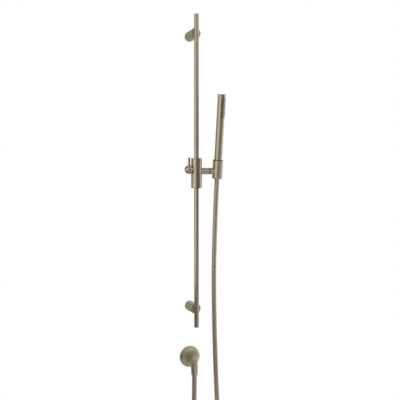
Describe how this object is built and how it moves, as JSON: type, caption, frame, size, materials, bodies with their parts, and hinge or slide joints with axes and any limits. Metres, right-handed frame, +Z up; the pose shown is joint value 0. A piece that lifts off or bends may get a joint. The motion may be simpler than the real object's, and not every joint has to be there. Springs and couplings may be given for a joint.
{
  "type": "hand shower on slide rail",
  "caption": "Stick hand shower in a tilting holder on a wall rail, with a lever-clamped slider, a hanging metal hose and a round wall outlet elbow, all in satin nickel.",
  "frame": {"origin": "on the wall plane, midway between the two rail brackets' screw holes", "axes": "+Z up along the rail, +Y into the wall, +X to the right, towards the hand shower"},
  "size_m": [0.1566, 0.1276, 1.5639],
  "materials": {
    "satin_nickel": "satin nickel, fine brushing along each piece",
    "hose_metal": "satin nickel, finely wound",
    "plain_brass": "machined",
    "stainless_fixings": "bright",
    "dark_nylon": "moulded",
    "white_acetal": "moulded",
    "seal_rubber": "moulded"
  },
  "bodies": {
    "wall_set": {"rail_tube": "satin_nickel", "rail_end_cap_lower": "satin_nickel", "rail_end_cap_upper": "satin_nickel", "rail_insert_lower": "plain_brass", "rail_insert_upper": "plain_brass", "bracket_post_lower": "satin_nickel", "bracket_post_upper": "satin_nickel", "wall_disc_lower": "plain_brass", "wall_disc_upper": "plain_brass", "bracket_grub_screws": "stainless_fixings", "rail_fixing_screws": "stainless_fixings", "elbow_flange": "satin_nickel", "elbow_body": "satin_nickel", "wall_nipple": "plain_brass", "elbow_o_ring": "seal_rubber", "elbow_set_screw": "stainless_fixings", "check_valve_housing": "white_acetal", "check_valve_poppet": "white_acetal", "check_valve_guide": "white_acetal", "check_valve_spring": "stainless_fixings", "hose_nut_lower": "satin_nickel", "hose_tail_lower": "plain_brass", "hose_washer_lower": "seal_rubber", "shower_hose": "hose_metal"},
    "carriage": {"slider_bush_lower": "dark_nylon", "slider_bush_upper": "dark_nylon"},
    "slider": {"slider_body": "satin_nickel", "clamp_boss": "satin_nickel", "slider_arm": "satin_nickel", "arm_friction_washer": "dark_nylon", "arm_pivot_bolt": "stainless_fixings", "arm_spring_washer": "stainless_fixings", "arm_pivot_nut": "stainless_fixings"},
    "pad": {"brake_pad": "dark_nylon"},
    "clamp": {"clamp_spindle": "plain_brass", "clamp_knob": "satin_nickel", "clamp_lever_pin": "satin_nickel"},
    "holder": {"holder_body": "satin_nickel", "holder_liner": "dark_nylon"},
    "hose_end": {"hose_tail_upper": "plain_brass", "hose_washer_upper": "seal_rubber", "hose_nut_upper": "satin_nickel"},
    "handset": {"handset_tube": "satin_nickel", "handset_cap": "satin_nickel", "spray_plate": "satin_nickel", "nozzle_mat": "seal_rubber", "spray_chamber": "white_acetal", "inner_water_tube": "white_acetal", "handset_inlet": "plain_brass", "flow_regulator": "white_acetal", "inlet_strainer": "stainless_fixings"}
  },
  "joints": [
    {"name": "slider_slide", "type": "slide", "parent": "wall_set", "child": "carriage", "axis": [0, 0, 1], "range_m": [-0.37, 0.38], "deforming": ["shower_hose"]},
    {"name": "slider_swivel", "type": "hinge", "parent": "carriage", "child": "slider", "pos_m": [0, -0.066, 0], "axis": [0, 0, 1], "range_deg": [-90, 30], "deforming": ["shower_hose"]},
    {"name": "pad_slide", "type": "slide", "parent": "slider", "child": "pad", "axis": [-1, 0, 0], "range_m": [0, 0.00032]},
    {"name": "clamp_turn", "type": "hinge", "parent": "slider", "child": "clamp", "pos_m": [-0.026, -0.066, 0.008], "axis": [-1, 0, 0], "range_deg": [0, 90]},
    {"name": "holder_tilt", "type": "hinge", "parent": "slider", "child": "holder", "pos_m": [0.0742, -0.066, 0.003], "axis": [1, 0, 0], "range_deg": [-18, 30], "deforming": ["shower_hose"]},
    {"name": "handset_lift", "type": "slide", "parent": "holder", "child": "hose_end", "axis": [0, -0.1392, 0.9903], "range_m": [0, 0.07], "deforming": ["shower_hose"]},
    {"name": "handset_turn", "type": "hinge", "parent": "hose_end", "child": "handset", "pos_m": [0.0742, -0.066, 0.003], "axis": [0, -0.1392, 0.9903], "continuous": true}
  ],
  "couplings": [
    {"joint": "pad_slide", "follows": "clamp_turn", "m_per_rad": 0.000199}
  ]
}
